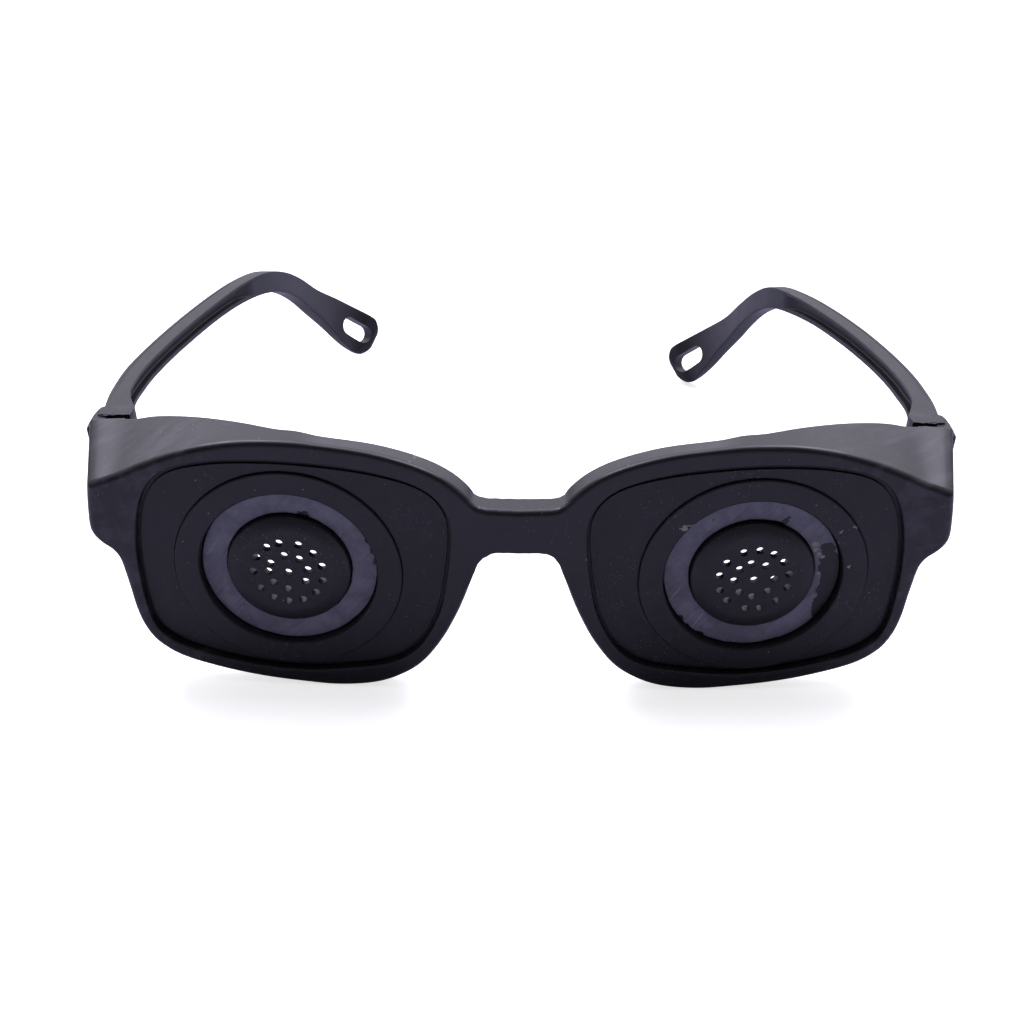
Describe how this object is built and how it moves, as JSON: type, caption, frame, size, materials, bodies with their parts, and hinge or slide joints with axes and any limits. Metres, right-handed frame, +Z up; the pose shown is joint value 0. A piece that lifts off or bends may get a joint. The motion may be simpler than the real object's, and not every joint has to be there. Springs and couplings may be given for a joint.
{
  "type": "pinhole glasses",
  "caption": "Black pinhole spectacles: a moulded front with perforated eye cups, recessed ring magnets and folding temples with cord eyelets.",
  "frame": {"origin": "on the table under the middle of the bounding box, with the rims and the temple tips standing on z = 0", "axes": "+X across the front, +Y from the front back towards the temple tips, +Z up"},
  "size_m": [0.1496, 0.1262, 0.0493],
  "materials": {
    "front_plastic": "satin black",
    "plate_plastic": "satin black",
    "cup_plastic": "satin black",
    "temple_plastic": "satin black",
    "magnet": "matt grey ferrite",
    "pin_steel": "drawn steel"
  },
  "bodies": {
    "front": {"front_frame": "front_plastic", "left_eye_plate": "plate_plastic", "right_eye_plate": "plate_plastic", "left_pinhole_cup": "cup_plastic", "right_pinhole_cup": "cup_plastic", "left_magnet_ring": "magnet", "right_magnet_ring": "magnet", "left_hinge_pin": "pin_steel", "right_hinge_pin": "pin_steel"},
    "left_temple": {"left_temple": "temple_plastic"},
    "right_temple": {"right_temple": "temple_plastic"}
  },
  "joints": [
    {"name": "left_temple_fold", "type": "hinge", "parent": "front", "child": "left_temple", "pos_m": [-0.06969, -0.04308, 0.03755], "axis": [0, 0, -1], "range_deg": [0, 76]},
    {"name": "right_temple_fold", "type": "hinge", "parent": "front", "child": "right_temple", "pos_m": [0.06969, -0.04308, 0.03755], "axis": [0, 0, 1], "range_deg": [0, 70]}
  ]
}
